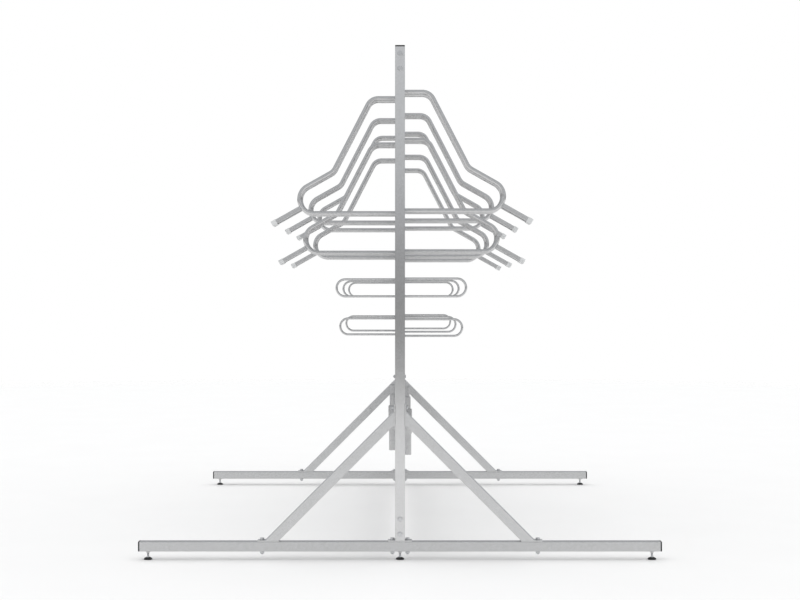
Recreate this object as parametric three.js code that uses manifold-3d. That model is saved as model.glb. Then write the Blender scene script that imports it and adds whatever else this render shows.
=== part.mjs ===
// Double-sided vertical bike rack of galvanised steel tube, in millimetres, +Z up.
// The origin is on the floor under the middle of the rack. X runs across it: the bikes hang out
// to +X and to -X. Y runs along the row, from the near stand at -Y to the far stand at +Y.
// Eleven bays stand between two beams, turned to +X and -X by turns, and along each side
// the bays are high and low by turns, so that the handlebars of neighbours clear each other.

import * as THREE from 'three';
import { mergeVertices } from 'three/addons/utils/BufferGeometryUtils.js';
import loadManifold from 'manifold-3d';

const wasm = await loadManifold();
wasm.setup();

// Row of bays
const bayCount = 11;
const baySpacing = 200;
const endMargin = 230;

// Square tube of the stands and beams
const tubeSize = 40;
const tubeWall = 2.5;
const tubeCorner = 3;

// Welded end plates, one length for posts and beams, and the longer one of the uprights
const plateLength = 98;
const plateThickness = 5;
const uprightPlateLength = 120;
const ventHole = 10;

// Stands
const railUnderside = 35;
const railLength = 2106;
const topBeamHeight = 2018;
const bottomBeamGap = 6.5;
const postLip = 9;
const braceReach = 530;
const bracePlateLip = 27;

// Plastic caps of the tubes
const capThickness = 6;
const capChamfer = 2;
const plugLength = 16;

// Levelling feet. The pad swells from its sole to its waist and draws in again to its crown,
// by rings of [share of the pad's radius, share of its height].
const footInset = 32;
const footPadDiameter = 35;
const footPadHeight = 9;
const padRingShares = [[0.8, 0], [0.96, 0.16], [1, 0.36], [0.9, 0.62], [0.68, 0.86], [0.46, 1]];
const footCollarDiameter = 13;
const footCollarHeight = 9;
const footStemDiameter = 8;
const footStemTop = 58;
const nutTopDiameter = 19;
const nutBottomDiameter = 11;
const nutHeight = 9;

// Uprights
const uprightDepth = 60;
const uprightWidth = 40;

// Hoops, as centre-line sizes of the bent tube
const hoopTubeDiameter = 20;
const hoopTopHeight = 1919.5;
const hoopTierDrop = 158;
const hoopHeight = 495.5;
const hoopTopReach = 124.5;
const kneeReach = 287;
const kneeDrop = 315;
const noseSlopeDegrees = 29.4;
const elbowRadius = 50;
const noseRadius = 62;
const hoopTail = 15;

// Arms that carry the front wheel on from the nose of the hoops
const armSection = 18;
const armLength = 137;
const armOffset = 5;

// Plastic wheel rest over the cross bar of the arms
const restLength = 22;
const restWall = 1.5;
const restChamfer = 1.2;

// Lock loops
const loopRodDiameter = 10;
const loopHeight = 1103.5;
const loopTierDrop = 175.5;
const loopWidth = 74;
const loopReach = 276;
const loopTail = 18;

// Rear wheel shoes
const shoeTopHeight = 592;
const shoeTierDrop = 130;
const shoeHeight = 100;
const shoeReach = 50;
const shoeSheet = 3;
const shoeCornerRadius = 3;

// Fits: the gap that seated pieces keep, how far welded pieces sink into each other,
// and how far a cutting tool passes beyond what it cuts
const seatGap = 0.3;
const weldDepth = 0.5;
const overrun = 4;

// Facets. The rods have six sides, so that two of them are flats that face along Y.
// Each segment of a rounded corner is two facets.
const hoopSides = 8;
const rodSides = 6;
const latheSides = 12;
const holeSides = 8;
const cornerSegments = 1;
const bendFacetDegrees = 26;

// Places that follow from the sizes
const half = (size) => size / 2;
const railTop = railUnderside + tubeSize;
const standY = half((bayCount - 1) * baySpacing) + endMargin;
const plateTop = railTop + plateThickness;
const bottomBeamHeight = plateTop + bottomBeamGap + half(plateLength);
const postTopHeight = topBeamHeight + half(plateLength) + postLip;
const topBeamUnderside = topBeamHeight - half(tubeSize);
const bottomBeamTop = bottomBeamHeight + half(tubeSize);
const tubeBore = tubeSize - 2 * tubeWall;
const bracePlateLength = bracePlateLip + plateThickness + tubeSize * Math.SQRT2;
const hoopPlane = half(uprightDepth) + half(hoopTubeDiameter) + seatGap;
const noseSlope = THREE.MathUtils.degToRad(noseSlopeDegrees);
const bendFacet = THREE.MathUtils.degToRad(bendFacetDegrees);

// Finishes
const galvanised = new THREE.MeshStandardMaterial({ color: 0xb4b7ba, roughness: 0.42, metalness: 0.85 });
const blackPlastic = new THREE.MeshStandardMaterial({ color: 0x17181a, roughness: 0.6, metalness: 0 });
const greyPlastic = new THREE.MeshStandardMaterial({ color: 0xc9cbca, roughness: 0.5, metalness: 0 });

// Solids: a closed geometry becomes a solid that can be cut and joined, and goes back again
function solidOf(geometry) {
  const bare = geometry.clone();
  bare.deleteAttribute('normal');
  bare.deleteAttribute('uv');
  const merged = mergeVertices(bare);
  return new wasm.Manifold(new wasm.Mesh({
    numProp: 3,
    vertProperties: new Float32Array(merged.attributes.position.array),
    triVerts: new Uint32Array(merged.index.array),
  }));
}

function geometryOf(solid) {
  const mesh = solid.getMesh();
  const geometry = new THREE.BufferGeometry();
  geometry.setAttribute('position', new THREE.Float32BufferAttribute(mesh.vertProperties, mesh.numProp));
  geometry.setIndex(Array.from(mesh.triVerts));
  geometry.computeVertexNormals();
  return geometry;
}

function joined(pieces) {
  return pieces.reduce((whole, piece) => whole.add(piece));
}

// A block between two corners
function block(low, high) {
  const size = high.map((value, axis) => value - low[axis]);
  const geometry = new THREE.BoxGeometry(...size);
  geometry.translate(...low.map((value, axis) => value + half(size[axis])));
  return solidOf(geometry);
}

// An upright cylinder or cone frustum standing on z = bottom
function roundPost(bottomDiameter, topDiameter, bottom, top, sides = latheSides) {
  const geometry = new THREE.CylinderGeometry(half(topDiameter), half(bottomDiameter), top - bottom, sides);
  geometry.rotateX(Math.PI / 2);
  geometry.translate(0, 0, half(bottom + top));
  return solidOf(geometry);
}

// A rectangle with rounded corners, centred on the origin
function roundedRectangle(outline, width, depth, radius) {
  const x = half(width) - radius;
  const y = half(depth) - radius;
  outline.moveTo(x, -half(depth));
  outline.absarc(x, -y, radius, -Math.PI / 2, 0, false);
  outline.absarc(x, y, radius, 0, Math.PI / 2, false);
  outline.absarc(-x, y, radius, Math.PI / 2, Math.PI, false);
  outline.absarc(-x, -y, radius, Math.PI, Math.PI * 1.5, false);
  return outline;
}

// Rectangular tube along +Z from z = 0, with rounded outer corners and a plain bore
function rectangularTube(width, depth, length) {
  const section = roundedRectangle(new THREE.Shape(), width, depth, tubeCorner);
  const x = half(width) - tubeWall;
  const y = half(depth) - tubeWall;
  section.holes.push(new THREE.Path([[-x, -y], [-x, y], [x, y], [x, -y]].map(([px, py]) => new THREE.Vector2(px, py))));
  return new THREE.ExtrudeGeometry(section, { depth: length, bevelEnabled: false, curveSegments: cornerSegments });
}

// Stations along a bar bent in the XZ plane: straight runs between corners, and at each corner
// an arc of its own radius. A station has a place and the heading of the bar there.
function bentPath(corners) {
  const stations = [];
  const centres = [];
  const heading = (from, to) => Math.atan2(to.z - from.z, to.x - from.x);
  stations.push({ ...corners[0], heading: heading(corners[0], corners[1]) });
  for (let i = 1; i < corners.length - 1; i++) {
    const headingIn = heading(corners[i - 1], corners[i]);
    const headingOut = heading(corners[i], corners[i + 1]);
    let turn = headingOut - headingIn;
    if (turn > Math.PI) turn -= 2 * Math.PI;
    if (turn < -Math.PI) turn += 2 * Math.PI;
    const side = Math.sign(turn);
    const { radius } = corners[i];
    const tangent = radius * Math.tan(Math.abs(turn) / 2);
    const centre = {
      x: corners[i].x - tangent * Math.cos(headingIn) - side * radius * Math.sin(headingIn),
      z: corners[i].z - tangent * Math.sin(headingIn) + side * radius * Math.cos(headingIn),
    };
    const facets = Math.ceil(Math.abs(turn) / bendFacet);
    for (let k = 0; k <= facets; k++) {
      const angle = headingIn + turn * k / facets;
      stations.push({
        x: centre.x + side * radius * Math.sin(angle),
        z: centre.z - side * radius * Math.cos(angle),
        heading: angle,
      });
    }
    centres.push(centre);
  }
  const last = corners.length - 1;
  stations.push({ ...corners[last], heading: heading(corners[last - 1], corners[last]) });
  return { stations, centres };
}

// A round bar of equal diameter along such a path, in the plane y = 0, with flat ends
function bentBar(stations, diameter, sides) {
  const positions = [];
  const faces = [];
  const radius = half(diameter);
  for (const station of stations) {
    for (let k = 0; k < sides; k++) {
      const angle = 2 * Math.PI * k / sides;
      const across = radius * Math.cos(angle);
      positions.push(
        station.x - across * Math.sin(station.heading),
        radius * Math.sin(angle),
        station.z + across * Math.cos(station.heading),
      );
    }
  }
  const at = (ring, k) => ring * sides + k % sides;
  for (let ring = 0; ring + 1 < stations.length; ring++) {
    for (let k = 0; k < sides; k++) {
      faces.push(at(ring, k), at(ring + 1, k), at(ring + 1, k + 1));
      faces.push(at(ring, k), at(ring + 1, k + 1), at(ring, k + 1));
    }
  }
  for (let k = 1; k + 1 < sides; k++) {
    faces.push(at(0, 0), at(0, k), at(0, k + 1));
    faces.push(at(stations.length - 1, 0), at(stations.length - 1, k + 1), at(stations.length - 1, k));
  }
  const geometry = new THREE.BufferGeometry();
  geometry.setAttribute('position', new THREE.Float32BufferAttribute(positions, 3));
  geometry.setIndex(faces);
  return geometry;
}

function named(name, shape, material) {
  const geometry = shape.isBufferGeometry ? shape : geometryOf(shape);
  const mesh = new THREE.Mesh(geometry, material);
  mesh.name = name;
  return mesh;
}

// Rail: the tube on the floor side of a stand, with three round weld nuts for the feet
const footPlaces = [-1, 0, 1].map((side) => side * (half(railLength) - footInset));

function rail() {
  const tube = rectangularTube(tubeSize, tubeSize, railLength);
  tube.rotateY(Math.PI / 2);
  tube.translate(-half(railLength), 0, railTop - half(tubeSize));
  let solid = solidOf(tube);
  for (const x of footPlaces) {
    const nut = roundPost(nutBottomDiameter, nutTopDiameter, railUnderside - nutHeight, railUnderside + weldDepth);
    const threadDiameter = footStemDiameter + 2 * seatGap;
    const thread = roundPost(threadDiameter, threadDiameter, 0, railUnderside + tubeWall + overrun);
    solid = solid.add(nut.translate(x, 0, 0)).subtract(thread.translate(x, 0, 0));
  }
  return solid;
}

// End plate in the XY plane, its underside on z = 0, with the hole that lets zinc drain
// from the tube that is welded on it
function endPlate(length, width, ventX) {
  const plate = block([-half(length), -half(width), 0], [half(length), half(width), plateThickness]);
  const vent = roundPost(ventHole, ventHole, -overrun, plateThickness + overrun, holeSides);
  return { plate, vent: vent.translate(ventX, 0, 0) };
}

// Post: square tube on a foot plate that lies along the rail
function post() {
  const foot = endPlate(plateLength, tubeSize, 0);
  const tube = rectangularTube(tubeSize, tubeSize, postTopHeight - plateTop + weldDepth);
  tube.translate(0, 0, plateThickness - weldDepth);
  return joined([foot.plate, solidOf(tube)]).subtract(foot.vent).translate(0, 0, railTop);
}

// Brace at 45 degrees, drawn for the +X side, with a plate on the rail and one on the post.
// A plate ends at the heel of the tube and runs out past its toe. Both plates are alike about
// the line x = z through the corner of rail and post.
function brace() {
  const centreLine = braceReach - half(tubeSize) * Math.SQRT2;
  const plateCentre = braceReach + bracePlateLip - half(bracePlateLength);
  const tube = rectangularTube(tubeSize, tubeSize, braceReach * Math.SQRT2);
  tube.translate(0, 0, -half(braceReach) * Math.SQRT2);
  tube.rotateY(-Math.PI / 4);
  tube.translate(half(centreLine), 0, half(centreLine));
  const cut = plateThickness - weldDepth;
  const keep = block([cut, -tubeSize, cut], [braceReach + overrun, tubeSize, braceReach + overrun]);
  const { plate, vent } = endPlate(bracePlateLength, tubeSize, centreLine - plateCentre);
  const lowPlate = plate.translate(plateCentre, 0, 0);
  const lowVent = vent.translate(plateCentre, 0, 0);
  const toPost = (solid) => solid.rotate(0, -90, 0).mirror([1, 0, 0]);
  const whole = joined([solidOf(tube).intersect(keep), lowPlate, toPost(lowPlate)]);
  return whole.subtract(lowVent).subtract(toPost(lowVent)).translate(half(tubeSize), 0, railTop);
}

// Beam: square tube along Y between the posts, with an end plate against each post
function beam(height) {
  const reach = standY - half(tubeSize);
  const tube = rectangularTube(tubeSize, tubeSize, 2 * (reach - plateThickness + weldDepth));
  tube.rotateX(-Math.PI / 2);
  tube.translate(0, -(reach - plateThickness + weldDepth), 0);
  let solid = solidOf(tube);
  for (const turn of [90, -90]) {
    const { plate, vent } = endPlate(tubeSize, plateLength, 0);
    const turned = (piece) => piece.translate(0, 0, -reach).rotate(turn, 0, 0);
    solid = solid.add(turned(plate)).subtract(turned(vent));
  }
  return solid.translate(0, 0, height);
}

// Plastic cap that closes a tube ending at z = 0: a chamfered lid and a plug in the bore
function tubeCap() {
  const lid = new THREE.ExtrudeGeometry(roundedRectangle(new THREE.Shape(), tubeSize, tubeSize, tubeCorner), {
    depth: capThickness - capChamfer,
    bevelThickness: capChamfer,
    bevelSize: capChamfer,
    bevelOffset: -capChamfer,
    bevelSegments: 1,
    curveSegments: cornerSegments,
  });
  const above = block([-tubeSize, -tubeSize, 0], [tubeSize, tubeSize, capThickness + overrun]);
  const plug = half(tubeBore) - seatGap;
  return solidOf(lid).intersect(above).add(block([-plug, -plug, -plugLength], [plug, plug, weldDepth]));
}

// Levelling foot: plastic pad, flared collar and threaded stem, turned in one outline
function foot() {
  const pad = half(footPadDiameter);
  const collar = half(footCollarDiameter);
  const stem = half(footStemDiameter);
  const collarTop = footPadHeight + footCollarHeight;
  const outline = [
    [0, 0],
    ...padRingShares.map(([radiusShare, heightShare]) => [radiusShare * pad, heightShare * footPadHeight]),
    [collar, footPadHeight],
    [stem, collarTop],
    [stem, footStemTop],
    [0, footStemTop],
  ];
  const lathe = new THREE.LatheGeometry(outline.map(([r, z]) => new THREE.Vector2(r, z)), latheSides);
  lathe.rotateX(Math.PI / 2);
  return solidOf(lathe);
}

// One end frame of the rack, drawn for the near end
function stand(place) {
  const group = new THREE.Group();
  group.add(named(`rail_${place}`, rail(), galvanised));
  group.add(named(`post_${place}`, post(), galvanised));
  const right = named(`brace_${place}_right`, brace(), galvanised);
  const left = named(`brace_${place}_left`, brace(), galvanised);
  left.rotation.z = Math.PI;
  group.add(right, left);
  const postCap = named(`post_cap_${place}`, tubeCap(), blackPlastic);
  postCap.position.z = postTopHeight;
  group.add(postCap);
  for (const [side, name] of [[1, 'right'], [-1, 'left']]) {
    const cap = named(`rail_cap_${place}_${name}`, tubeCap(), blackPlastic);
    cap.position.set(side * half(railLength), 0, railTop - half(tubeSize));
    cap.rotation.y = side * Math.PI / 2;
    group.add(cap);
  }
  ['left', 'middle', 'right'].forEach((name, i) => {
    const leveller = named(`foot_${place}_${name}`, foot(), blackPlastic);
    leveller.position.x = footPlaces[i];
    group.add(leveller);
  });
  return group;
}

// Upright of a bay, drawn for the +X side, with its lock loop and its rear wheel shoe welded on
function upright(low) {
  const bottom = bottomBeamTop;
  const top = topBeamUnderside;
  const tube = rectangularTube(uprightWidth, uprightDepth, top - bottom - 2 * (plateThickness - weldDepth));
  tube.translate(0, 0, bottom + plateThickness - weldDepth);
  const { plate, vent } = endPlate(uprightWidth, uprightPlateLength, 0);
  const parts = [solidOf(tube), plate.translate(0, 0, bottom), plate.translate(0, 0, top - plateThickness)];

  // Lock loop: a rod bent to a hairpin and welded flat on the side of the upright
  const loopZ = loopHeight - (low ? loopTierDrop : 0);
  const loopRadius = half(loopWidth);
  const loopBend = loopRadius - seatGap;
  const { stations } = bentPath([
    { x: -loopTail, z: loopZ + loopRadius },
    { x: loopReach, z: loopZ + loopRadius, radius: loopBend },
    { x: loopReach, z: loopZ - loopRadius, radius: loopBend },
    { x: -loopTail, z: loopZ - loopRadius },
  ]);
  const rod = bentBar(stations, loopRodDiameter, rodSides);
  const rodFlat = half(loopRodDiameter) * Math.cos(Math.PI / rodSides);
  rod.translate(0, -half(uprightDepth) - rodFlat + weldDepth, 0);
  parts.push(solidOf(rod));

  // Shoe: sheet bent to a channel that holds the tyre against the upright
  const shoeTop = shoeTopHeight - (low ? shoeTierDrop : 0);
  const face = half(uprightWidth);
  const inner = half(uprightDepth);
  parts.push(block(
    [face - weldDepth, -inner - shoeSheet, shoeTop - shoeHeight],
    [face + shoeSheet, inner + shoeSheet, shoeTop],
  ));
  const flange = new THREE.Shape();
  flange.moveTo(face, shoeTop);
  flange.lineTo(face, shoeTop - shoeHeight);
  flange.absarc(shoeReach - shoeCornerRadius, shoeTop - shoeHeight + shoeCornerRadius,
    shoeCornerRadius, -Math.PI / 2, 0, false);
  flange.absarc(shoeReach - shoeCornerRadius, shoeTop - shoeCornerRadius, shoeCornerRadius, 0, Math.PI / 2, false);
  for (const y of [-inner, inner + shoeSheet]) {
    const wing = new THREE.ExtrudeGeometry(flange, {
      depth: shoeSheet,
      bevelEnabled: false,
      curveSegments: cornerSegments,
    });
    wing.rotateX(Math.PI / 2);
    wing.translate(0, y, 0);
    parts.push(solidOf(wing));
  }
  const vents = [vent.translate(0, 0, bottom), vent.translate(0, 0, top - plateThickness)];
  return joined(parts).subtract(joined(vents));
}

// Centre line of a hoop: out along the top, down to the knee, on to the nose, back along the bottom
function hoopPath(low) {
  const top = hoopTopHeight - (low ? hoopTierDrop : 0);
  const knee = top - kneeDrop;
  const bottom = top - hoopHeight;
  return bentPath([
    { x: -hoopTail, z: top },
    { x: hoopTopReach, z: top, radius: elbowRadius },
    { x: kneeReach, z: knee, radius: elbowRadius },
    { x: kneeReach + (knee - bottom) / Math.tan(noseSlope), z: bottom, radius: noseRadius },
    { x: -hoopTail, z: bottom },
  ]);
}

// Pair of hoops, joined beyond their noses by two arms and a cross bar
function hoopPair(low) {
  const { stations, centres } = hoopPath(low);
  const nose = centres[centres.length - 1];
  const hoop = solidOf(bentBar(stations, hoopTubeDiameter, hoopSides));
  const section = half(armSection);
  const armEnd = noseRadius + half(hoopTubeDiameter) + armLength;
  const arm = block([noseRadius, -section, -section], [armEnd, section, section]);
  const crossBar = block([armEnd - armSection, -hoopPlane, -section], [armEnd, hoopPlane, section]);
  const fork = joined([arm.translate(0, -hoopPlane, 0), arm.translate(0, hoopPlane, 0), crossBar]);
  const sloping = fork.translate(0, 0, -armOffset).rotate(0, noseSlopeDegrees, 0).translate(nose.x, 0, nose.z);
  return joined([hoop.translate(0, -hoopPlane, 0), hoop.translate(0, hoopPlane, 0), sloping]);
}

// Wheel rest: a moulded cover pushed on over the cross bar and the ends of the arms
function wheelRest(low) {
  const { centres } = hoopPath(low);
  const nose = centres[centres.length - 1];
  const section = half(armSection) + seatGap;
  const armEnd = noseRadius + half(hoopTubeDiameter) + armLength + seatGap;
  const side = hoopPlane + section;
  const height = 2 * (section + restWall);
  const profile = roundedRectangle(new THREE.Shape(), restLength, height, restChamfer);
  const body = new THREE.ExtrudeGeometry(profile, {
    depth: 2 * (side + restWall),
    bevelEnabled: false,
    curveSegments: cornerSegments,
  });
  body.rotateX(Math.PI / 2);
  body.translate(armEnd + restWall - half(restLength), side + restWall, 0);
  const mouth = armEnd + restWall - restLength - overrun;
  const cover = solidOf(body).subtract(block([mouth, -side, -section], [armEnd, side, section]));
  return cover.translate(0, 0, -armOffset).rotate(0, noseSlopeDegrees, 0).translate(nose.x, 0, nose.z);
}

// Rack
const rack = new THREE.Group();

const nearStand = stand('near');
nearStand.position.y = -standY;
const farStand = stand('far');
farStand.position.y = standY;
rack.add(nearStand, farStand);

rack.add(named('beam_bottom', beam(bottomBeamHeight), galvanised));
rack.add(named('beam_top', beam(topBeamHeight), galvanised));

for (let i = 0; i < bayCount; i++) {
  const left = i % 2 === 1;
  const low = Math.floor(i / 2) % 2 === 1;
  const number = String(i + 1).padStart(2, '0');
  const bay = new THREE.Group();
  bay.position.y = (i - half(bayCount - 1)) * baySpacing;
  if (left) bay.rotation.z = Math.PI;
  bay.add(named(`upright_${number}`, upright(low), galvanised));
  bay.add(named(`hoop_pair_${number}`, hoopPair(low), galvanised));
  bay.add(named(`wheel_rest_${number}`, wheelRest(low), greyPlastic));
  rack.add(bay);
}

export default rack;
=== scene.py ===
"""Two tier bike rack of galvanised tube: the finished surfaces, fasteners, welds and materials.

Metres, +Z up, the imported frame's own axes. X runs across the rack, Y along the row of bays.
Pieces of a bay are drawn for the +X side at y = 0, and pieces of a stand for the near one.
"""
import math
from contextlib import contextmanager

import bmesh
import bpy
from mathutils import Matrix, Vector


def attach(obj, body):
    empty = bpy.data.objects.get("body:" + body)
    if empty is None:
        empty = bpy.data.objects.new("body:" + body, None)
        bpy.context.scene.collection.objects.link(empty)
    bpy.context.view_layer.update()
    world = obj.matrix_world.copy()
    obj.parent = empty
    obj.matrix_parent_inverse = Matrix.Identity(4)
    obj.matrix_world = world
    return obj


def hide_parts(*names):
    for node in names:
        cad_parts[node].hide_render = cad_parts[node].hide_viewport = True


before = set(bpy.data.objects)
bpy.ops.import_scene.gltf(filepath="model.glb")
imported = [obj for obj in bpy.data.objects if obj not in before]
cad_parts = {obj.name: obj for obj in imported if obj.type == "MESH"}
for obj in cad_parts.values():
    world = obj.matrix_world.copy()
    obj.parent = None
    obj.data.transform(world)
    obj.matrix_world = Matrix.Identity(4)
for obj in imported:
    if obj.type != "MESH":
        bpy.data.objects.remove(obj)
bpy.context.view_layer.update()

# Row of bays
BAY_COUNT = 11
BAY_SPACING = 0.200
STAND_Y = 1.230

# Square tube, and the plates welded on its ends
TUBE = 0.040
TUBE_WALL = 0.0025
TUBE_CORNER = 0.003
PLATE_LENGTH = 0.098
PLATE_THICKNESS = 0.005
PLATE_CORNER = 0.003
SHEET_EDGE = 0.0006
UPRIGHT_PLATE_LENGTH = 0.120
BOLT_OFFSET = 0.0305
UPRIGHT_BOLT_OFFSET = 0.045

# Stands
RAIL_UNDERSIDE = 0.035
RAIL_LENGTH = 2.106
RAIL_TOP = RAIL_UNDERSIDE + TUBE
POST_TOP = 2.076
BOTTOM_BEAM = 0.1355
TOP_BEAM = 2.018
BRACE_REACH = 0.530
BRACE_PLATE_LIP = 0.027
BRACE_PLATE_LENGTH = BRACE_PLATE_LIP + PLATE_THICKNESS + TUBE * math.sqrt(2)
BRACE_PLATE_CENTRE = BRACE_REACH + BRACE_PLATE_LIP - BRACE_PLATE_LENGTH / 2
BRACE_BOLT = BRACE_REACH + BRACE_PLATE_LIP - 0.0185

# Caps
CAP_THICKNESS = 0.006
CAP_EDGE = 0.002
CAP_PLUG = 0.016
SEAT_GAP = 0.0003

# Levelling feet. The outlines of pad, crown and collar are shares of their radius and height, and a
# tooth of the thread rises, runs level and falls by shares of its pitch
FOOT_PLACES = {
    "left": 0.032 - RAIL_LENGTH / 2,
    "middle": 0.0,
    "right": RAIL_LENGTH / 2 - 0.032,
}
PAD_RADIUS = 0.0175
PAD_HEIGHT = 0.009
PAD_SHARES = [(0.8, 0), (0.9, 0.05), (0.96, 0.16), (0.99, 0.27), (1, 0.36), (0.98, 0.47), (0.9, 0.62)]
PAD_CROWN_SHARES = [(0.8, 0.78), (0.68, 0.9), (0.56, 1.02), (0.46, 1.12), (0.42, 1.14), (0.36, 1.06)]
COLLAR_RADIUS = 0.0065
COLLAR_TOP = 0.018
COLLAR_SHARES = [(0.9, 0), (1, 0.1), (0.84, 0.4), (0.7, 0.75)]
STEM_RADIUS = 0.004
STEM_ROOT_RADIUS = 0.0034
STEM_PITCH = 0.00125
STEM_TOP = 0.058
STEM_SEAT = PAD_HEIGHT - 0.001
TOOTH_SHARES = (0.4, 0.15, 0.45)
NUT_HEIGHT = 0.009
NUT_BORE = 0.0043
NUT_BOTTOM_RADIUS = 0.0055
NUT_TOP_RADIUS = 0.0095

# Uprights, hoops and arms
UPRIGHT_DEPTH = 0.060
UPRIGHT_WIDTH = 0.040
UPRIGHT_BOTTOM = BOTTOM_BEAM + TUBE / 2
UPRIGHT_TOP = TOP_BEAM - TUBE / 2
HOOP_RADIUS = 0.010
HOOP_WALL = 0.002
HOOP_PLANE = 0.0403
HOOP_ELBOW = 0.050
HOOP_NOSE = 0.062
HOOP_TIER_DROP = 0.158
HOOP_TAIL = 0.015
HOOP_TOP = 1.9195
HOOP_BOTTOM = 1.424
HOOP_TOP_REACH = 0.1245
KNEE_REACH = 0.287
KNEE_HEIGHT = 1.6045
NOSE_SLOPE = math.radians(29.4)
NOSE_REACH = KNEE_REACH + (KNEE_HEIGHT - HOOP_BOTTOM) / math.tan(NOSE_SLOPE)
NOSE_CENTRE = Vector((NOSE_REACH - HOOP_NOSE / math.tan(NOSE_SLOPE / 2), 0, HOOP_BOTTOM + HOOP_NOSE))
ARM_SECTION = 0.018
ARM_START = HOOP_NOSE
ARM_END = HOOP_NOSE + HOOP_RADIUS + 0.137
ARM_OFFSET = 0.005
ARM_EDGE = 0.0012
REST_LENGTH = 0.022
REST_WALL = 0.0015
REST_EDGE = 0.0012
BAR_END_EDGE = 0.0008

# Lock loops
LOOP_ROD = 0.005
LOOP_HEIGHT = 1.1035
LOOP_TIER_DROP = 0.1755
LOOP_HALF_WIDTH = 0.037
LOOP_REACH = 0.276
LOOP_TAIL = 0.018
LOOP_PLANE = -(UPRIGHT_DEPTH / 2 + LOOP_ROD - 0.0005)

# Rear wheel shoes
SHOE_TOP = 0.592
SHOE_TIER_DROP = 0.130
SHOE_HEIGHT = 0.100
SHOE_REACH = 0.050
SHOE_SHEET = 0.003
SHOE_CORNER = 0.003
SHOE_FOLD = 0.005
SHOE_WELD_INSET = 0.008

# Bolts, nuts and washers, M10, with faces at a share of the width across the flats
WASHER_RADIUS = 0.010
WASHER_HEIGHT = 0.002
HEX_FLATS = 0.017
HEX_CORNER_RADIUS = HEX_FLATS / math.sqrt(3)
HEX_FACE_SHARE = 0.47
HEX_FACE_RADIUS = HEX_FACE_SHARE * HEX_FLATS
HEX_CHAMFER = 0.001
HEX_EDGE = 0.0003
RING_EDGE = 0.0005
HEAD_HEIGHT = 0.0064
NUT_THICKNESS = 0.008
BOLT_RADIUS = 0.005
BOLT_POINT = 0.0005
THREAD_DEPTH = 0.0006
THREAD_PITCH = 0.0015
THREAD_STUB = 0.0035

# Weld beads: their radii, how far they sit in or off a face, and a plate weld's share of its flat
WELD = 0.0016
NUT_WELD = 0.0008
ROD_WELD = 0.00128
SHOE_WELD_SINK = 0.0008
ARM_WELD_SINK = 0.001
LOOP_WELD_OFFSET = 0.0015
LOOP_WELD_RISE = 0.0035
PLATE_WELD_SHARE = 0.9
WELD_STEP = 0.003
RIPPLE_LENGTH = 0.004

# Drawing: sides of a round piece, the distance that merges points, and the slack of a choice by place
ROUND_SIDES = 32
MERGE = 0.00001
SLACK = 0.0001

# Camera, from the photograph of 800 by 600 pixels
PHOTO_WIDTH = 800
FOCAL_PIXELS = 1516
SENSOR = 36
CAMERA_DISTANCE = 6.144
CAMERA_HEIGHT = 1.0615
HORIZON_PIXELS = -2.5

# Studio. From one Y of a direction to the other, the room's light falls to its far wall's share
FLOOR_RADIUS = 12.5
FLOOR_FADE = 11.2
CEILING_SPREAD = 120
CEILING_LIGHT = 1.66
FAR_WALL_SHARE = 0.8
FAR_WALL_START = -0.4
FAR_WALL_END = 0.6

# The room that the zinc mirrors, as shades at the sines of their elevations
ROOM_SHADES = [
    (-0.10, "#D0D0D0"),
    (-0.052, "#BCBCBC"),
    (-0.040, "#AEAEAE"),
    (-0.019, "#A3A3A3"),
    (-0.005, "#9A9B9B"),
    (0.009, "#9E9F9F"),
    (0.019, "#A8A9A9"),
    (0.038, "#BCBDBF"),
    (0.068, "#D2D3D5"),
    (0.087, "#DADCDE"),
    (0.136, "#E7E9EB"),
    (0.20, "#DFE1E3"),
    (0.40, "#D7D9DB"),
    (0.90, "#D3D5D7"),
]


# Camera

bpy.ops.object.camera_add(
    location=(0, -STAND_Y - CAMERA_DISTANCE, CAMERA_HEIGHT), rotation=(math.pi / 2, 0, 0)
)
camera = bpy.context.object
camera.data.sensor_width = SENSOR
camera.data.lens = SENSOR * FOCAL_PIXELS / PHOTO_WIDTH
camera.data.shift_y = HORIZON_PIXELS / PHOTO_WIDTH
camera.data.dof.use_dof = False
bpy.context.scene.camera = camera


# Materials

def linear(code):
    """The linear colour of an sRGB hex value."""
    channels = [int(code[i:i + 2], 16) / 255 for i in (1, 3, 5)]
    return [c / 12.92 if c <= 0.04045 else ((c + 0.055) / 1.055) ** 2.4 for c in channels] + [1]


def add(tree, kind, inputs=None, **settings):
    """Adds one node, with its settings, and each input as a value or as another node's output."""
    node = tree.nodes.new(kind)
    for setting, value in settings.items():
        setattr(node, setting, value)
    for socket, value in (inputs or {}).items():
        if isinstance(value, bpy.types.NodeSocket):
            tree.links.new(value, node.inputs[socket])
        else:
            node.inputs[socket].default_value = value
    return node


def material(name):
    """An empty node material with its surface shader and the object's own coordinates."""
    made = bpy.data.materials.new(name)
    made.use_nodes = True
    tree = made.node_tree
    coordinates = add(tree, "ShaderNodeTexCoord").outputs["Object"]
    return made, tree, tree.nodes["Principled BSDF"], coordinates


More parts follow.
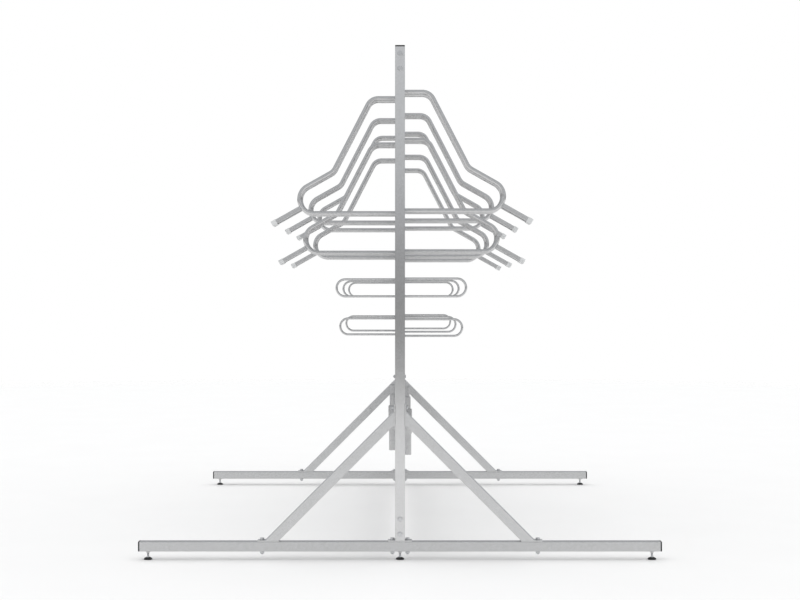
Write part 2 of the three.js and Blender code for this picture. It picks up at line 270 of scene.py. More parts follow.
def galvanised_steel(name, run=None, dull="#CFCFCF", bright="#D6D6D7"):
    """Hot-dip galvanised steel: zinc frozen in flat crystals, a few millimetres across, that
    differ a little in tone and gloss. A drawn tube keeps fine lines along its run under the
    zinc, so that its reflections spread across the run and stay sharp along it."""
    made, tree, surface, place = material(name)
    surface.inputs["Metallic"].default_value = 1
    drift = add(tree, "ShaderNodeTexNoise", {"Vector": place, "Scale": 1 / 0.012, "Detail": 2})
    bent = add(tree, "ShaderNodeVectorMath", {0: drift.outputs["Color"], 1: (0.004, 0.004, 0.004)},
               operation="MULTIPLY")
    wandered = add(tree, "ShaderNodeVectorMath", {0: place, 1: bent.outputs[0]}, operation="ADD")
    crystals = add(tree, "ShaderNodeTexVoronoi", {"Vector": wandered.outputs[0], "Scale": 1 / 0.008})
    crystal = add(tree, "ShaderNodeSeparateColor", {"Color": crystals.outputs["Color"]})
    clouds = add(tree, "ShaderNodeTexNoise", {
        "Vector": place, "Scale": 1 / 0.070, "Detail": 4, "Roughness": 0.6,
    })

    shade = add(tree, "ShaderNodeMath", {0: crystal.outputs["Red"], 1: clouds.outputs["Fac"]},
                operation="ADD")
    share = add(tree, "ShaderNodeMapRange", {"Value": shade.outputs[0], "From Min": 0.3, "From Max": 1.7})
    zinc = add(tree, "ShaderNodeValToRGB", {"Fac": share.outputs[0]})
    zinc.color_ramp.elements[0].color = linear(dull)
    zinc.color_ramp.elements[1].color = linear(bright)
    tree.links.new(zinc.outputs["Color"], surface.inputs["Base Color"])

    sheen = add(tree, "ShaderNodeMath", {0: crystal.outputs["Green"], 1: 0.4, 2: clouds.outputs["Fac"]},
                operation="MULTIPLY_ADD")
    rough = add(tree, "ShaderNodeMapRange", {
        "Value": sheen.outputs[0], "From Min": 0.3, "From Max": 1.1, "To Min": 0.22, "To Max": 0.27,
    })
    tree.links.new(rough.outputs[0], surface.inputs["Roughness"])
    if run:
        line = add(tree, "ShaderNodeCombineXYZ", {"X": run[0], "Y": run[1], "Z": run[2]})
        tree.links.new(line.outputs[0], surface.inputs["Tangent"])
        surface.inputs["Anisotropic"].default_value = 1
        surface.inputs["Anisotropic Rotation"].default_value = 0.25
    return made


def galvanised_weld():
    """Galvanised weld metal: the zinc lies duller and rougher on its ripples than on rolled tube."""
    made, tree, surface, place = material("galvanised_weld_metal")
    surface.inputs["Metallic"].default_value = 1
    scale = add(tree, "ShaderNodeTexNoise", {
        "Vector": place, "Scale": 1 / 0.003, "Detail": 5, "Roughness": 0.65,
    })
    zinc = add(tree, "ShaderNodeValToRGB", {"Fac": scale.outputs["Fac"]})
    zinc.color_ramp.elements[0].position = 0.3
    zinc.color_ramp.elements[0].color = linear("#A9ACAE")
    zinc.color_ramp.elements[1].position = 0.7
    zinc.color_ramp.elements[1].color = linear("#C8CACB")
    tree.links.new(zinc.outputs["Color"], surface.inputs["Base Color"])
    rough = add(tree, "ShaderNodeMapRange", {"Value": scale.outputs["Fac"], "To Min": 0.38, "To Max": 0.55})
    tree.links.new(rough.outputs[0], surface.inputs["Roughness"])
    bump = add(tree, "ShaderNodeBump", {
        "Strength": 0.3, "Distance": 0.0003, "Height": scale.outputs["Fac"],
    })
    tree.links.new(bump.outputs[0], surface.inputs["Normal"])
    return made


def plated_fastener():
    """Zinc electroplate on bolts and nuts: thinner, brighter and more even than dipped zinc,
    with a faint mottle from the barrel they were tumbled in."""
    made, tree, surface, place = material("electroplated_zinc")
    surface.inputs["Metallic"].default_value = 1
    mottle = add(tree, "ShaderNodeTexNoise", {"Vector": place, "Scale": 1 / 0.004, "Detail": 4})
    zinc = add(tree, "ShaderNodeValToRGB", {"Fac": mottle.outputs["Fac"]})
    zinc.color_ramp.elements[0].color = linear("#C2C3C5")
    zinc.color_ramp.elements[1].color = linear("#D4D5D6")
    tree.links.new(zinc.outputs["Color"], surface.inputs["Base Color"])
    rough = add(tree, "ShaderNodeMapRange", {"Value": mottle.outputs["Fac"], "To Min": 0.2, "To Max": 0.36})
    tree.links.new(rough.outputs[0], surface.inputs["Roughness"])
    dents = add(tree, "ShaderNodeTexNoise", {"Vector": place, "Scale": 1 / 0.0012, "Detail": 2})
    bump = add(tree, "ShaderNodeBump", {
        "Strength": 0.08, "Distance": 0.0002, "Height": dents.outputs["Fac"],
    })
    tree.links.new(bump.outputs[0], surface.inputs["Normal"])
    return made


def black_polyethylene():
    """Injection-moulded polyethylene, spark-eroded mould: a soft black with a fine pebbled grain
    that spreads each highlight, greyer where it has been rubbed."""
    made, tree, surface, place = material("moulded_black_polyethylene")
    surface.inputs["IOR"].default_value = 1.51
    pebbles = add(tree, "ShaderNodeTexVoronoi", {"Vector": place, "Scale": 1 / 0.0009, "Smoothness": 0.7},
                  feature="SMOOTH_F1")
    rubbing = add(tree, "ShaderNodeTexNoise", {
        "Vector": place, "Scale": 1 / 0.015, "Detail": 5, "Roughness": 0.6,
    })
    colour = add(tree, "ShaderNodeValToRGB", {"Fac": rubbing.outputs["Fac"]})
    colour.color_ramp.elements[0].position = 0.35
    colour.color_ramp.elements[0].color = linear("#18191A")
    colour.color_ramp.elements[1].position = 0.8
    colour.color_ramp.elements[1].color = linear("#2A2B2C")
    tree.links.new(colour.outputs["Color"], surface.inputs["Base Color"])
    rough = add(tree, "ShaderNodeMapRange", {
        "Value": rubbing.outputs["Fac"], "To Min": 0.42, "To Max": 0.62,
    })
    tree.links.new(rough.outputs[0], surface.inputs["Roughness"])
    bump = add(tree, "ShaderNodeBump", {
        "Strength": 0.25, "Distance": 0.0002, "Height": pebbles.outputs["Distance"],
    })
    tree.links.new(bump.outputs[0], surface.inputs["Normal"])
    return made


def grey_polyamide():
    """Injection-moulded light grey polyamide: satin, close to the zinc beside it but without its
    depth, with faint flow clouds from the mould."""
    made, tree, surface, place = material("moulded_grey_polyamide")
    surface.inputs["IOR"].default_value = 1.53
    flow = add(tree, "ShaderNodeTexNoise", {
        "Vector": place, "Scale": 1 / 0.025, "Detail": 4, "Distortion": 0.8,
    })
    colour = add(tree, "ShaderNodeValToRGB", {"Fac": flow.outputs["Fac"]})
    colour.color_ramp.elements[0].position = 0.3
    colour.color_ramp.elements[0].color = linear("#D7D8D8")
    colour.color_ramp.elements[1].position = 0.7
    colour.color_ramp.elements[1].color = linear("#E1E2E2")
    tree.links.new(colour.outputs["Color"], surface.inputs["Base Color"])
    rough = add(tree, "ShaderNodeMapRange", {"Value": flow.outputs["Fac"], "To Min": 0.38, "To Max": 0.5})
    tree.links.new(rough.outputs[0], surface.inputs["Roughness"])
    grain = add(tree, "ShaderNodeTexNoise", {"Vector": place, "Scale": 1 / 0.0008, "Detail": 2})
    bump = add(tree, "ShaderNodeBump", {
        "Strength": 0.12, "Distance": 0.0002, "Height": grain.outputs["Fac"],
    })
    tree.links.new(bump.outputs[0], surface.inputs["Normal"])
    return made


def studio_paper():
    """Matt white paper: an even floor that only soft shadows mark, and that ends in mist."""
    made, tree, surface, place = material("studio_paper")
    fibre = add(tree, "ShaderNodeTexNoise", {"Vector": place, "Scale": 1 / 0.4, "Detail": 3})
    colour = add(tree, "ShaderNodeValToRGB", {"Fac": fibre.outputs["Fac"]})
    colour.color_ramp.elements[0].color = linear("#F0EFEE")
    colour.color_ramp.elements[1].color = linear("#F3F2F1")
    tree.links.new(colour.outputs["Color"], surface.inputs["Base Color"])
    surface.inputs["Roughness"].default_value = 0.9
    surface.inputs["Specular IOR Level"].default_value = 0.1
    reach = add(tree, "ShaderNodeVectorMath", {0: place}, operation="LENGTH")
    solid = add(tree, "ShaderNodeMapRange", {
        "Value": reach.outputs["Value"],
        "From Min": FLOOR_FADE, "From Max": FLOOR_RADIUS, "To Min": 1, "To Max": 0,
    })
    tree.links.new(solid.outputs[0], surface.inputs["Alpha"])
    return made


zinc_steel = galvanised_steel("galvanised_steel")
# Painted shade: the bent bars take a darker copy of the same galvanised zinc, shade painted into its colour
zinc_bar_painted_shade = galvanised_steel("galvanised_bent_bar_painted_shade", dull="#C5C5C5", bright="#CECECF")
zinc_tube = [
    # Painted shade: tubes that run across the rack take a darker copy of the same zinc
    galvanised_steel("galvanised_tube_across_painted_shade", (1, 0, 0), dull="#C9C9C9", bright="#D1D1D2"),
    galvanised_steel("galvanised_tube_along_the_row", (0, 1, 0)),
    galvanised_steel("galvanised_tube_upright", (0, 0, 1)),
]
zinc_brace = {
    "right": galvanised_steel("galvanised_tube_down_right", (1, 0, -1)),
    "left": galvanised_steel("galvanised_tube_down_left", (-1, 0, -1)),
}
zinc_weld = galvanised_weld()
zinc_plate = plated_fastener()
black_plastic = black_polyethylene()
grey_plastic = grey_polyamide()

weld_ripple = bpy.data.textures.new("weld ripple", "CLOUDS")
weld_ripple.noise_scale = RIPPLE_LENGTH


# Modelling helpers

def pick(*pieces):
    """Selects these pieces and nothing else, with the first one active."""
    bpy.ops.object.select_all(action="DESELECT")
    for piece in pieces:
        piece.select_set(True)
    bpy.context.view_layer.objects.active = pieces[0]


@contextmanager
def editing(piece, kind="FACE"):
    """Edit mode on one piece, with everything else deselected."""
    pick(piece)
    bpy.ops.object.mode_set(mode="EDIT")
    bpy.ops.mesh.select_mode(type=kind)
    yield
    bpy.ops.object.mode_set(mode="OBJECT")


def choose(piece, kind, wanted):
    """Selects the verts, edges or faces of a piece in edit mode that pass a test."""
    bpy.ops.mesh.select_all(action="DESELECT")
    mesh = bmesh.from_edit_mesh(piece.data)
    chosen = [part for part in getattr(mesh, kind) if wanted(part)]
    for part in chosen:
        part.select_set(True)
    bmesh.update_edit_mesh(piece.data)
    return len(chosen)


def along(edge, axis):
    """Whether an edge runs along one axis."""
    run = edge.verts[1].co - edge.verts[0].co
    return abs(run[axis]) > 0.999 * run.length


def faces_along(face, axis, side=0):
    """Whether a face looks along one axis, to either side or to a given one."""
    return abs(face.normal[axis]) > 0.99 if side == 0 else face.normal[axis] * side > 0.99


def settle(piece):
    """Puts a piece's place, turn and scale into its mesh."""
    pick(piece)
    bpy.ops.object.transform_apply(location=True, rotation=True, scale=True)


def named(name):
    """Names the primitive just added, and settles it."""
    piece = bpy.context.object
    piece.name = name
    piece.data.name = name
    settle(piece)
    return piece


def finish(piece, kind, **settings):
    """Adds a modifier and applies it."""
    modifier = piece.modifiers.new(kind.lower(), kind)
    for setting, value in settings.items():
        setattr(modifier, setting, value)
    bpy.context.view_layer.objects.active = piece
    bpy.ops.object.modifier_apply(modifier=modifier.name)


def soften(piece, width, segments=2, angle=40):
    """Rounds the sharp edges that are left, and smooths the shading between them."""
    limit = math.radians(angle)
    finish(piece, "BEVEL", width=width, segments=segments, limit_method="ANGLE", angle_limit=limit)
    smooth(piece)


def smooth(piece, angle=35):
    """Smooth shading up to an angle, with the wide flat faces kept flat."""
    pick(piece)
    bpy.ops.object.shade_smooth_by_angle(angle=math.radians(angle))
    finish(piece, "WEIGHTED_NORMAL", keep_sharp=True)


def made_of(piece, material):
    """Gives a piece one material."""
    piece.data.materials.clear()
    piece.data.materials.append(material)
    return piece


def joined(name, pieces):
    """Joins pieces into one object, each part keeping its material."""
    pick(*pieces)
    bpy.ops.object.join()
    whole = bpy.context.object
    whole.name = name
    whole.data.name = name
    return whole


def copied(master, name, matrix):
    """A copy with a mesh of its own, moved by a matrix."""
    piece = master.copy()
    piece.data = master.data.copy()
    piece.data.transform(matrix)
    piece.name = name
    piece.data.name = name
    bpy.context.scene.collection.objects.link(piece)
    return piece


def discard(*pieces):
    """Removes masters and cutters that aren't part of the rack."""
    for piece in pieces:
        bpy.data.objects.remove(piece)


def moved(x=0.0, y=0.0, z=0.0):
    return Matrix.Translation((x, y, z))


def facing(place, outwards):
    """Carries a piece drawn about +Z to a place, with its top outwards."""
    return Matrix.Translation(place) @ Vector(outwards).to_track_quat("Z", "Y").to_matrix().to_4x4()


HALF_TURN = Matrix.Rotation(math.pi, 4, "Z")


def block(name, low, high):
    """A block between two corners."""
    low, high = Vector(low), Vector(high)
    bpy.ops.object.select_all(action="DESELECT")
    bpy.ops.mesh.primitive_cube_add(size=1, location=(low + high) / 2, scale=high - low)
    return named(name)


def tube(name, low, high, axis):
    """A length of welded rectangular tube with rolled corners, hollow and open at its ends."""
    piece = block(name, low, high)
    with editing(piece, "EDGE"):
        choose(piece, "edges", lambda edge: along(edge, axis))
        bpy.ops.mesh.bevel(offset=TUBE_CORNER, offset_type="OFFSET", segments=5, affect="EDGES")
        bpy.ops.mesh.select_mode(type="FACE")
        choose(piece, "faces", lambda face: faces_along(face, axis))
        bpy.ops.mesh.delete(type="FACE")
    finish(piece, "SOLIDIFY", thickness=TUBE_WALL, offset=-1, use_even_offset=True)
    smooth(piece)
    # Tubes across the rack take the darker zinc, which is painted shade
    return made_of(piece, zinc_tube[axis])


def plate(name, low, high, axis):
    """A flat plate whose thickness runs along one axis, with rounded corners."""
    piece = block(name, low, high)
    with editing(piece, "EDGE"):
        choose(piece, "edges", lambda edge: along(edge, axis))
        bpy.ops.mesh.bevel(offset=PLATE_CORNER, offset_type="OFFSET", segments=3, affect="EDGES")
    soften(piece, SHEET_EDGE)
    return made_of(piece, zinc_steel)


def turned(name, outline, sides=ROUND_SIDES):
    """A solid turned about Z: a disc drawn up through each radius and height of an outline."""
    radius, height = outline[0]
    bpy.ops.object.select_all(action="DESELECT")
    bpy.ops.mesh.primitive_circle_add(
        vertices=sides, radius=radius, fill_type="NGON", location=(0, 0, height)
    )
    piece = named(name)
    with editing(piece):
        bpy.ops.mesh.select_all(action="SELECT")
        for next_radius, next_height in outline[1:]:
            bpy.ops.mesh.extrude_region_move(TRANSFORM_OT_translate={"value": (0, 0, next_height - height)})
            share = next_radius / radius
            bpy.ops.transform.resize(value=(share, share, 1), center_override=(0, 0, next_height))
            radius, height = next_radius, next_height
        bpy.ops.mesh.select_all(action="SELECT")
        bpy.ops.mesh.normals_make_consistent(inside=False)
    smooth(piece)
    return piece


def ring(name, inner, outer_bottom, outer_top, bottom, top):
    """A ring about Z with a straight bore and a straight or conical outside."""
    bpy.ops.object.select_all(action="DESELECT")
    bpy.ops.mesh.primitive_plane_add(size=1, rotation=(math.pi / 2, 0, 0))
    piece = named(name)
    with editing(piece, "VERT"):
        mesh = bmesh.from_edit_mesh(piece.data)
        for vert in mesh.verts:
            above = vert.co.z > 0
            outer = outer_top if above else outer_bottom
            vert.co = (outer if vert.co.x > 0 else inner, 0, top if above else bottom)
        bmesh.update_edit_mesh(piece.data)
        bpy.ops.mesh.select_all(action="SELECT")
        bpy.ops.mesh.delete(type="ONLY_FACE")
        bpy.ops.mesh.select_all(action="SELECT")
        bpy.ops.mesh.spin(steps=ROUND_SIDES, angle=2 * math.pi, center=(0, 0, 0), axis=(0, 0, 1))
        bpy.ops.mesh.select_all(action="SELECT")
        bpy.ops.mesh.remove_doubles(threshold=MERGE)
        bpy.ops.mesh.normals_make_consistent(inside=False)
    soften(piece, RING_EDGE, angle=30)
    return piece


def bent_bar(name, corners, radius, y=0.0, sides=24, wall=None):
    """A round bar in an upright plane, through corners of (x, z, radius of the bend there). With a
    wall its ends are open, as a tube's are."""
    points = [Vector((x, y, z)) for x, z, _ in corners]
    bends = [bend for _, _, bend in corners[1:-1]]
    runs = [b - a for a, b in zip(points, points[1:])]
    headings = [math.atan2(run.z, run.x) for run in runs]
    turns = [(b - a + math.pi) % (2 * math.pi) - math.pi for a, b in zip(headings, headings[1:])]
    tangents = [bend * math.tan(abs(turn) / 2) for bend, turn in zip(bends, turns)]
    bpy.ops.object.select_all(action="DESELECT")
    bpy.ops.mesh.primitive_circle_add(
        vertices=sides, radius=radius, location=points[0], rotation=(0, math.pi / 2 - headings[0], 0)
    )
    bar = named(name)
    with editing(bar, "EDGE"):
        bpy.ops.mesh.select_all(action="SELECT")
        place = points[0]
        for i, run in enumerate(runs):
            length = run.length - (tangents[i - 1] if i else 0) - (tangents[i] if i < len(turns) else 0)
            if length > MERGE:
                step = run.normalized() * length
                bpy.ops.mesh.extrude_region_move(TRANSFORM_OT_translate={"value": step})
                place = place + step
            if i < len(turns):
                side = math.copysign(1, turns[i])
                across = Vector((-math.sin(headings[i]), 0, math.cos(headings[i])))
                centre = place + across * side * bends[i]
                steps = max(5, round(abs(math.degrees(turns[i])) / 6))
                bpy.ops.mesh.spin(steps=steps, angle=abs(turns[i]), center=centre, axis=(0, side, 0))
                place = points[i + 1] + runs[i + 1].normalized() * tangents[i]
        bpy.ops.mesh.select_all(action="SELECT")
        bpy.ops.mesh.remove_doubles(threshold=MERGE)
        bpy.ops.mesh.select_all(action="DESELECT")
        bpy.ops.mesh.select_non_manifold()
        bpy.ops.mesh.fill_holes(sides=0)
        bpy.ops.mesh.select_all(action="SELECT")
        bpy.ops.mesh.normals_make_consistent(inside=False)
        bpy.ops.mesh.select_mode(type="FACE")
        choose(bar, "faces", lambda face: len(face.verts) > 4)
        if wall:
            bpy.ops.mesh.inset(thickness=wall)
            bpy.ops.mesh.extrude_region_move(TRANSFORM_OT_translate={"value": (2 * radius, 0, 0)})
        else:
            bpy.ops.mesh.bevel(offset=BAR_END_EDGE, segments=2, affect="EDGES")
    smooth(bar, 40)
    # The bar's darker zinc is painted shade
    return made_of(bar, zinc_bar_painted_shade)


def bead(name, points, closed=False, radius=WELD):
    """A rippled weld bead along a line of points."""
    bpy.ops.object.select_all(action="DESELECT")
    bpy.ops.mesh.primitive_plane_add(size=WELD, location=points[0])
    seam = named(name)
    with editing(seam, "VERT"):
        bpy.ops.mesh.select_all(action="SELECT")
        bpy.ops.mesh.merge(type="CENTER")
        for start, end in zip(points, points[1:]):
            step = Vector(end) - Vector(start)
            bpy.ops.mesh.extrude_region_move(TRANSFORM_OT_translate={"value": step})
        bpy.ops.mesh.select_all(action="SELECT")
        if closed:
            bpy.ops.mesh.remove_doubles(threshold=SLACK)
        bpy.ops.mesh.select_mode(type="EDGE")
        while choose(seam, "edges", lambda edge: edge.calc_length() > WELD_STEP):
            bpy.ops.mesh.subdivide(number_cuts=1)
    pick(seam)
    bpy.ops.object.convert(target="CURVE")
    line = bpy.context.object
    line.data.bevel_depth = radius
    line.data.bevel_resolution = 1
    line.data.use_fill_caps = True
    bpy.ops.object.convert(target="MESH")
    piece = bpy.context.object
    finish(piece, "DISPLACE", texture=weld_ripple, texture_coords="LOCAL", strength=radius)
    smooth(piece, 60)
    return made_of(piece, zinc_weld)


def cut_away(piece, cutters):
    """Cuts the cutters out of a piece."""
    for cutter in cutters:
        finish(piece, "BOOLEAN", operation="DIFFERENCE", object=cutter, solver="EXACT")
    discard(*cutters)


def trimmed(piece, place, outwards):
    """Saws a piece off along a plane and removes what lies outwards of it."""
    with editing(piece):
        bpy.ops.mesh.select_all(action="SELECT")
        bpy.ops.mesh.bisect(plane_co=place, plane_no=outwards, clear_outer=True, use_fill=True)


# Fasteners

def hexagon(name, bottom, top):
    """A hexagonal prism with its corners turned off at both faces."""
    prism = turned(name, [(HEX_CORNER_RADIUS, bottom), (HEX_CORNER_RADIUS, top)], sides=6)
    lathe = turned("chamfer", [
        (HEX_FACE_RADIUS, bottom),
        (HEX_CORNER_RADIUS + HEX_CHAMFER, bottom + HEX_CHAMFER),
        (HEX_CORNER_RADIUS + HEX_CHAMFER, top - HEX_CHAMFER),
        (HEX_FACE_RADIUS, top),
    ], sides=36)
    finish(prism, "BOOLEAN", operation="INTERSECT", object=lathe, solver="EXACT")
    discard(lathe)
    soften(prism, HEX_EDGE, angle=25)
    return prism


def bolt(name, grip):
    """A hexagon bolt with its nut and washers. The head is above z = 0, the nut is under what they
    clamp, at z = -grip, and the bolt's threaded end shows below it."""
    seat = -grip - WASHER_HEIGHT
    tip = seat - NUT_THICKNESS - THREAD_STUB
    outline = [(BOLT_RADIUS - 2 * THREAD_DEPTH, tip), (BOLT_RADIUS - THREAD_DEPTH, tip + BOLT_POINT)]
    for i in range(int(THREAD_STUB / THREAD_PITCH)):
        outline.append((BOLT_RADIUS, tip + BOLT_POINT + (i + 0.5) * THREAD_PITCH))
        outline.append((BOLT_RADIUS - THREAD_DEPTH, tip + BOLT_POINT + (i + 1) * THREAD_PITCH))
    outline += [(BOLT_RADIUS, -grip), (BOLT_RADIUS, WASHER_HEIGHT)]
    return made_of(joined(name, [
        turned("shank", outline),
        hexagon("head", WASHER_HEIGHT, WASHER_HEIGHT + HEAD_HEIGHT),
        hexagon("nut", seat - NUT_THICKNESS, seat),
        ring("washer", BOLT_RADIUS, WASHER_RADIUS, WASHER_RADIUS, 0, WASHER_HEIGHT),
        ring("washer", BOLT_RADIUS, WASHER_RADIUS, WASHER_RADIUS, seat, -grip),
    ]), zinc_plate)


plate_bolt = bolt("plate bolt", TUBE + PLATE_THICKNESS)
brace_bolt = bolt("brace bolt", TUBE + 2 * PLATE_THICKNESS)
hoop_bolt = bolt("hoop bolt", 2 * (HOOP_PLANE + HOOP_RADIUS))


# Feet of the stands

def foot_pad():
    """A moulded pad, dished at its crown round the stem's collar."""
    shares = PAD_SHARES + PAD_CROWN_SHARES
    outline = [(across * PAD_RADIUS, up * PAD_HEIGHT) for across, up in shares]
    return made_of(turned("foot pad", outline, sides=48), black_plastic)


def foot_stem():
    """A collar that tapers to a stem with a rolled thread: one tooth screwed up around the axis."""
    height = COLLAR_TOP - STEM_SEAT
    outline = [(across * COLLAR_RADIUS, STEM_SEAT + up * height) for across, up in COLLAR_SHARES]
    collar = turned("collar", outline + [(STEM_RADIUS, COLLAR_TOP)])
    bottom = COLLAR_TOP - 2 * STEM_PITCH
    turns = int((STEM_TOP - bottom) / STEM_PITCH) - 1
    bpy.ops.object.select_all(action="DESELECT")
    bpy.ops.mesh.primitive_plane_add(size=WELD, location=(STEM_ROOT_RADIUS, 0, bottom))
    tooth = named("foot stem")
    with editing(tooth, "VERT"):
        bpy.ops.mesh.select_all(action="SELECT")
        bpy.ops.mesh.merge(type="CENTER")
        depth = STEM_RADIUS - STEM_ROOT_RADIUS
        for outwards, share in zip((depth, 0, -depth), TOOTH_SHARES):
            step = (outwards, 0, share * STEM_PITCH)
            bpy.ops.mesh.extrude_region_move(TRANSFORM_OT_translate={"value": step})
    finish(tooth, "SCREW", axis="Z", steps=24, render_steps=24, screw_offset=STEM_PITCH,
           iterations=turns, use_merge_vertices=True, merge_threshold=MERGE)
    with editing(tooth, "EDGE"):
        bpy.ops.mesh.select_all(action="SELECT")
        bpy.ops.mesh.remove_doubles(threshold=MERGE)
        bpy.ops.mesh.select_all(action="DESELECT")
        bpy.ops.mesh.select_non_manifold()
        bpy.ops.mesh.fill_holes(sides=0)
        bpy.ops.mesh.select_all(action="SELECT")
        bpy.ops.mesh.normals_make_consistent(inside=False)
    smooth(tooth, 50)
    return made_of(joined("foot stem", [tooth, collar]), zinc_plate)


# Tube caps

def tube_cap():
    """A moulded cap for a tube that ends at z = 0: a lid with a rounded rim, and a plug below."""
    half = TUBE / 2
    cap = block("tube cap", (-half, -half, 0), (half, half, CAP_THICKNESS))
    with editing(cap, "EDGE"):
        choose(cap, "edges", lambda edge: along(edge, 2))
        bpy.ops.mesh.bevel(offset=TUBE_CORNER, offset_type="OFFSET", segments=5, affect="EDGES")
        choose(cap, "edges", lambda edge: min(vert.co.z for vert in edge.verts) > CAP_THICKNESS - SLACK)
        bpy.ops.mesh.bevel(offset=CAP_EDGE, offset_type="OFFSET", segments=4, affect="EDGES")
        bpy.ops.mesh.select_mode(type="FACE")
        choose(cap, "faces", lambda face: faces_along(face, 2, -1))
        bpy.ops.mesh.inset(thickness=TUBE_WALL + SEAT_GAP)
        bpy.ops.mesh.extrude_region_move(TRANSFORM_OT_translate={"value": (0, 0, -CAP_PLUG)})
    smooth(cap)
    return made_of(cap, black_plastic)


# Stands

def round_bead(x):
    """The weld round one foot nut."""
    angles = [2 * math.pi * i / 16 for i in range(17)]
    circle = [(x + NUT_TOP_RADIUS * math.cos(a), NUT_TOP_RADIUS * math.sin(a)) for a in angles]
    return bead("nut weld", [(*point, RAIL_UNDERSIDE) for point in circle], closed=True, radius=NUT_WELD)


def cross_bead(x, z):
    """A weld across a tube, along Y, where it stands on its plate."""
    reach = PLATE_WELD_SHARE * (TUBE / 2 - TUBE_CORNER)
    return bead("plate weld", [(x, -reach, z), (x, reach, z)])


def rail():
    """The floor rail, with three conical nuts welded over its tapped holes."""
    end, half = RAIL_LENGTH / 2, TUBE / 2
    length = tube("rail tube", (-end, -half, RAIL_UNDERSIDE), (end, half, RAIL_TOP), 0)
    nut_bottom = RAIL_UNDERSIDE - NUT_HEIGHT
    holes = []
    nuts = []
    for x in FOOT_PLACES.values():
        bpy.ops.object.select_all(action="DESELECT")
        bpy.ops.mesh.primitive_cylinder_add(
            vertices=ROUND_SIDES, radius=NUT_BORE, depth=2 * NUT_HEIGHT, location=(x, 0, RAIL_UNDERSIDE)
        )
        holes.append(named("tapped hole"))
        nut = ring("foot nut", NUT_BORE, NUT_BOTTOM_RADIUS, NUT_TOP_RADIUS, nut_bottom, RAIL_UNDERSIDE)
        nut.data.transform(moved(x=x))
        nuts.append(made_of(nut, zinc_steel))
    cut_away(length, holes)
    smooth(length)
    rounds = [round_bead(x) for x in FOOT_PLACES.values()]
    return joined("rail", [length, *nuts, *rounds])


def post():
    """The post on its foot plate."""
    half = TUBE / 2
    base = RAIL_TOP + PLATE_THICKNESS
    length = tube("post tube", (-half, -half, base), (half, half, POST_TOP), 2)
    foot = plate("foot plate", (-PLATE_LENGTH / 2, -half, RAIL_TOP), (PLATE_LENGTH / 2, half, base), 2)
    return joined("post", [length, foot, cross_bead(half, base), cross_bead(-half, base)])


def brace():
    """The brace of the +X side: a tube at 45 degrees, sawn to meet a plate at each end."""
    half = TUBE / 2
    corner = Vector((half, 0, RAIL_TOP))
    bar = tube("brace tube", (-half, -half, -BRACE_REACH), (half, half, BRACE_REACH), 2)
    middle = (BRACE_REACH - half * math.sqrt(2)) / 2
    leaning = Matrix.Rotation(-math.pi / 4, 4, "Y")
    bar.data.transform(Matrix.Translation(corner + Vector((middle, 0, middle))) @ leaning)
    trimmed(bar, corner + Vector((0, 0, PLATE_THICKNESS)), (0, 0, -1))
    trimmed(bar, corner + Vector((PLATE_THICKNESS, 0, 0)), (-1, 0, 0))
    smooth(bar)
    made_of(bar, zinc_brace["right"])
    outer = BRACE_PLATE_LENGTH / 2
    near, far = BRACE_PLATE_CENTRE - outer, BRACE_PLATE_CENTRE + outer
    low = plate("rail plate", (near, -half, 0), (far, half, PLATE_THICKNESS), 2)
    low.data.transform(Matrix.Translation(corner))
    high = plate("post plate", (0, -half, near), (PLATE_THICKNESS, half, far), 0)
    high.data.transform(Matrix.Translation(corner))
    toe = BRACE_REACH - PLATE_THICKNESS
    welds = [
        cross_bead(half + toe, RAIL_TOP + PLATE_THICKNESS),
        cross_bead(half + PLATE_THICKNESS, RAIL_TOP + toe),
    ]
    return joined("brace", [bar, low, high, *welds])


def beam(name, height):
    """A beam between the posts, with an end plate against each."""
    half = TUBE / 2
    reach = STAND_Y - half
    inner = reach - PLATE_THICKNESS
    pieces = [tube("beam tube", (-half, -inner, height - half), (half, inner, height + half), 1)]
    bottom, top = height - PLATE_LENGTH / 2, height + PLATE_LENGTH / 2
    run = half - TUBE_CORNER
    for side in (-1, 1):
        near, far = sorted((side * inner, side * reach))
        pieces.append(plate("beam plate", (-half, near, bottom), (half, far, top), 1))
        for z in (height - half, height + half):
            pieces.append(bead("beam weld", [(-run, side * inner, z), (run, side * inner, z)]))
    return joined(name, pieces)


# Bays

def lock_loop(low):
    """A hairpin of rod, welded flat against the side of the upright."""
    z = LOOP_HEIGHT - (LOOP_TIER_DROP if low else 0)
    bend = LOOP_HALF_WIDTH - SEAT_GAP
    rod = bent_bar("lock loop", [
        (-LOOP_TAIL, z + LOOP_HALF_WIDTH, 0),
        (LOOP_REACH, z + LOOP_HALF_WIDTH, bend),
        (LOOP_REACH, z - LOOP_HALF_WIDTH, bend),
        (-LOOP_TAIL, z - LOOP_HALF_WIDTH, 0),
    ], LOOP_ROD, y=LOOP_PLANE, sides=20)
    welds = []
    seam = UPRIGHT_WIDTH / 2 - TUBE_CORNER
    y = -UPRIGHT_DEPTH / 2 - LOOP_WELD_OFFSET
    for side in (-1, 1):
        for edge in (-1, 1):
            height = z + side * LOOP_HALF_WIDTH + edge * LOOP_WELD_RISE
            welds.append(bead("loop weld", [(-seam, y, height), (seam, y, height)], radius=ROD_WELD))
    return [rod, *welds]


